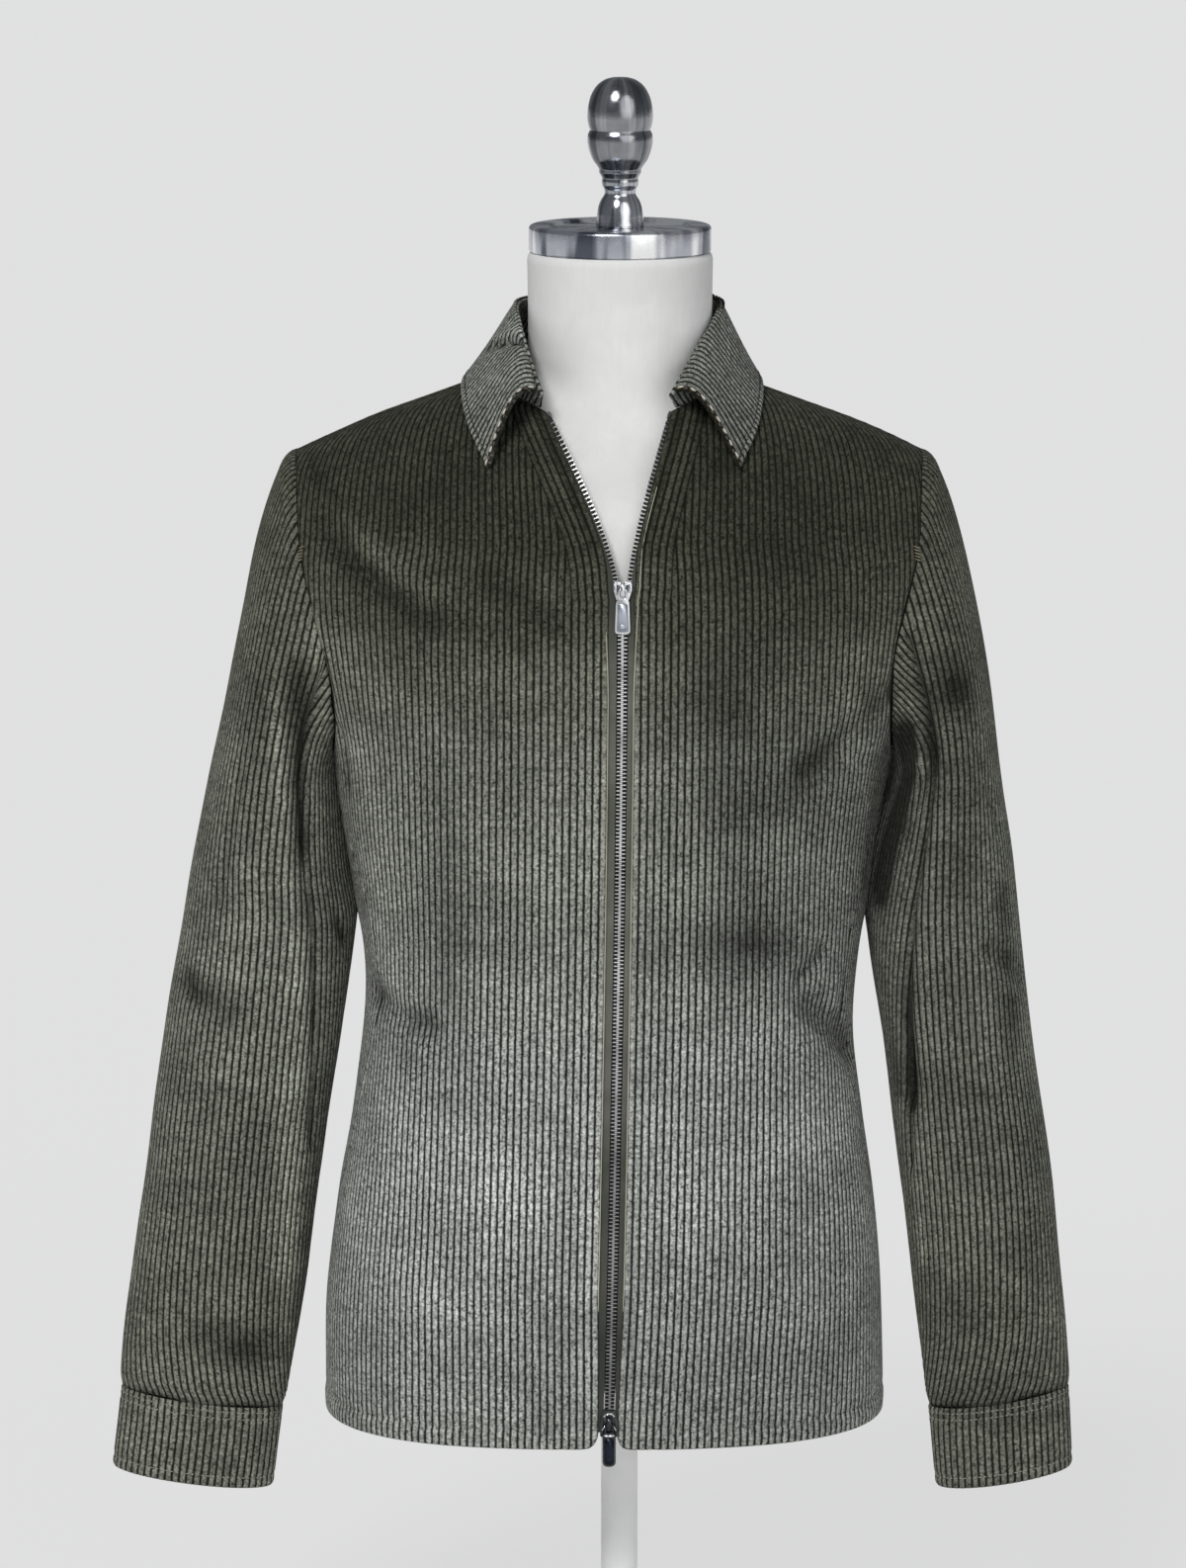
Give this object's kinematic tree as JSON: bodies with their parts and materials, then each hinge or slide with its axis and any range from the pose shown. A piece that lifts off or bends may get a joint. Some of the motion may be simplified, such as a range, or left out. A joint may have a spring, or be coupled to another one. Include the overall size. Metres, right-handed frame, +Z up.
{
  "type": "velvet corduroy zip jacket on a dress form",
  "caption": "Olive velvet corduroy zip jacket with a shirt collar, long sleeves and cuffs, worn on a limbless dress form with a metal knob and a short round-footed stand.",
  "frame": {"origin": "centre of the underside of the stand's foot, on the floor", "axes": "+Z up, -Y towards the jacket's front, +X to the wearer's left"},
  "size_m": [0.6271, 0.3, 1.0636],
  "materials": {
    "corduroy": "wide-wale velvet pile",
    "zip_tape": "woven tape",
    "zip_metal": "antique nickel teeth",
    "bright_metal": "polished",
    "dark_metal": "dark nickel",
    "canvas": "plain woven canvas",
    "cap_metal": "turned and polished",
    "stand_paint": "satin"
  },
  "bodies": {
    "jacket": {"front_left": "corduroy", "front_right": "corduroy", "back": "corduroy", "sleeve_left": "corduroy", "sleeve_right": "corduroy", "cuff_left": "corduroy", "cuff_right": "corduroy", "collar": "corduroy", "collar_stand": "corduroy", "zip_tape_left": "zip_tape", "zip_tape_right": "zip_tape", "zip_chain_closed": "zip_metal", "zip_chain_left": "zip_metal", "zip_chain_right": "zip_metal", "slider_top": "bright_metal", "slider_bottom": "dark_metal", "form_torso": "canvas", "form_neck": "canvas", "neck_cap": "cap_metal", "neck_knob": "cap_metal", "stand_pole": "cap_metal", "stand_base": "stand_paint"},
    "pull_top": {"pull_top": "bright_metal"},
    "pull_bottom": {"pull_bottom": "dark_metal"}
  },
  "joints": [
    {"name": "pull_top_swing", "type": "hinge", "parent": "jacket", "child": "pull_top", "pos_m": [0.00126, -0.12673, 0.7522], "axis": [-1, 0, 0], "range_deg": [0, 165]},
    {"name": "pull_bottom_swing", "type": "hinge", "parent": "jacket", "child": "pull_bottom", "pos_m": [-0.00705, -0.14126, 0.21702], "axis": [-1, 0, 0], "range_deg": [0, 165]}
  ]
}
